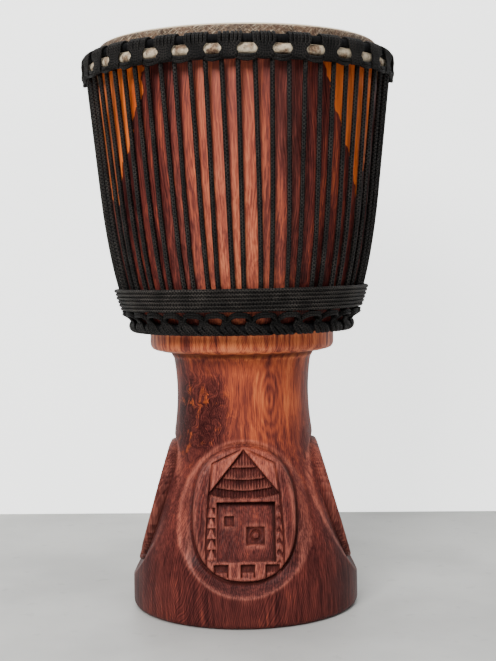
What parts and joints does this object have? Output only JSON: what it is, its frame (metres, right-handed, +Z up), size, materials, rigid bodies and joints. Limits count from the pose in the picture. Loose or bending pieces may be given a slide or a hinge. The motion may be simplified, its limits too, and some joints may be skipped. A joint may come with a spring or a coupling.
{
  "type": "goblet drum",
  "caption": "Carved hardwood goblet drum with a laced rawhide head, roped rings at crown and waist, and relief medallions round its foot.",
  "frame": {"origin": "on the ground, at the middle of the foot's underside", "axes": "+Z up along the drum's own axis, -Y towards the medallion at the front, +X to its right as seen from there"},
  "size_m": [0.3354, 0.3354, 0.6],
  "materials": {
    "wood": "glossy lacquer over red-brown grain with orange sapwood",
    "rawhide": "dry, matt, cream mottled with brown",
    "cloth": "matt black wound cloth",
    "rope": "black braided cord with a faint sheen"
  },
  "bodies": {
    "root": {"shell": "wood", "drumhead": "rawhide", "crown_ring": "cloth", "crown_hitches": "rope", "lacing": "rope", "waist_wrap": "rope", "bottom_ring": "cloth", "bottom_hitches": "rope"}
  },
  "joints": []
}
